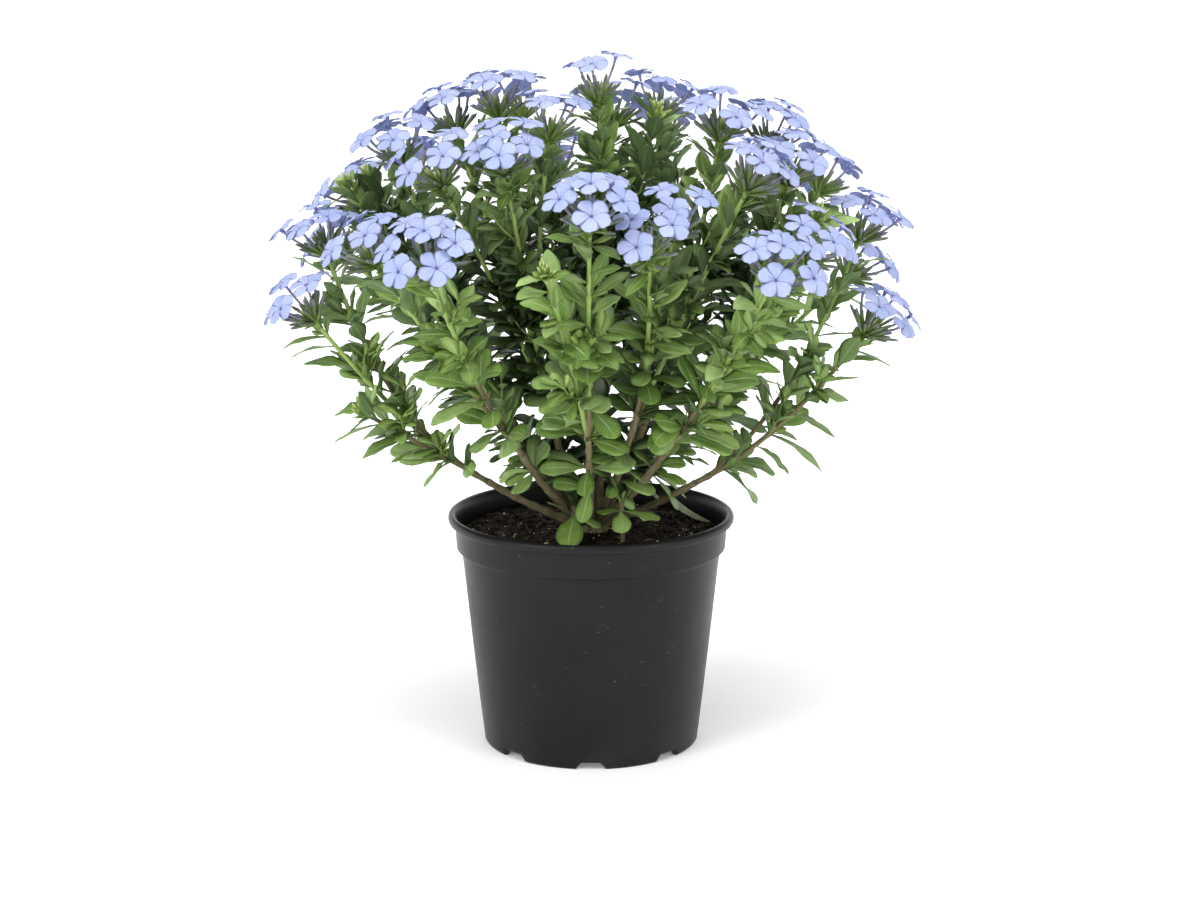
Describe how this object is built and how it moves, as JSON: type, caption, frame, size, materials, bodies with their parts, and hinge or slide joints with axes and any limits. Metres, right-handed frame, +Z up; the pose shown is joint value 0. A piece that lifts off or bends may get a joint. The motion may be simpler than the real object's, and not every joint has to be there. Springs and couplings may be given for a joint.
{
  "type": "potted cape plumbago",
  "caption": "Rounded shrub of leafy stems topped by domed heads of flat pale blue five-petalled flowers, growing from soil in a tapered black nursery pot with a rolled rim.",
  "frame": {"origin": "middle of the pot's foot on the ground, under the whole plant", "axes": "+Z up along the pot's axis; -Y towards the viewer of the picture; +X to the viewer's right"},
  "size_m": [0.4191, 0.405, 0.4594],
  "materials": {
    "pot_plastic": "satin black moulded polypropylene",
    "soil": "moist crumbly potting mix with bark and fibre",
    "stem_wood": "grey-brown bark",
    "leaf_green": "smooth leaf, soft shine, paler midrib and edge",
    "leaf_dry": "faded grey-green leaf, folded",
    "petal_blue": "thin matt petal"
  },
  "bodies": {
    "root": {"pot": "pot_plastic", "soil": "soil", "woody_stems": "stem_wood", "basal_shoot_left": "leaf_green", "basal_shoot_right": "leaf_green", "fallen_leaf": "leaf_dry", "leafy_branch_01": "leaf_green", "leafy_branch_02": "leaf_green", "leafy_branch_03": "leaf_green", "leafy_branch_04": "leaf_green", "leafy_branch_05": "leaf_green", "leafy_branch_06": "leaf_green", "leafy_branch_07": "leaf_green", "leafy_branch_08": "leaf_green", "leafy_branch_09": "leaf_green", "leafy_branch_10": "leaf_green", "leafy_branch_11": "leaf_green", "leafy_branch_12": "leaf_green", "leafy_branch_13": "leaf_green", "leafy_branch_14": "leaf_green", "leafy_branch_15": "leaf_green", "leafy_branch_16": "leaf_green", "leafy_branch_17": "leaf_green", "leafy_branch_18": "leaf_green", "flower_head_01": "petal_blue", "flower_head_02": "petal_blue", "flower_head_03": "petal_blue", "flower_head_04": "petal_blue", "flower_head_05": "petal_blue", "flower_head_06": "petal_blue", "flower_head_07": "petal_blue", "flower_head_08": "petal_blue", "flower_head_09": "petal_blue", "flower_head_10": "petal_blue", "flower_head_11": "petal_blue", "flower_head_12": "petal_blue", "flower_head_13": "petal_blue", "flower_head_14": "petal_blue", "flower_head_15": "petal_blue", "flower_head_16": "petal_blue", "flower_head_17": "petal_blue", "flower_head_18": "petal_blue", "flower_head_19": "petal_blue", "flower_head_20": "petal_blue", "flower_head_21": "petal_blue", "flower_head_22": "petal_blue", "flower_head_23": "petal_blue", "flower_head_24": "petal_blue", "flower_head_25": "petal_blue", "flower_head_26": "petal_blue", "flower_head_27": "petal_blue", "flower_head_28": "petal_blue", "flower_head_29": "petal_blue", "flower_head_30": "petal_blue", "flower_head_31": "petal_blue", "flower_head_32": "petal_blue", "flower_head_33": "petal_blue", "flower_head_34": "petal_blue", "flower_head_35": "petal_blue", "flower_head_36": "petal_blue"}
  },
  "joints": []
}
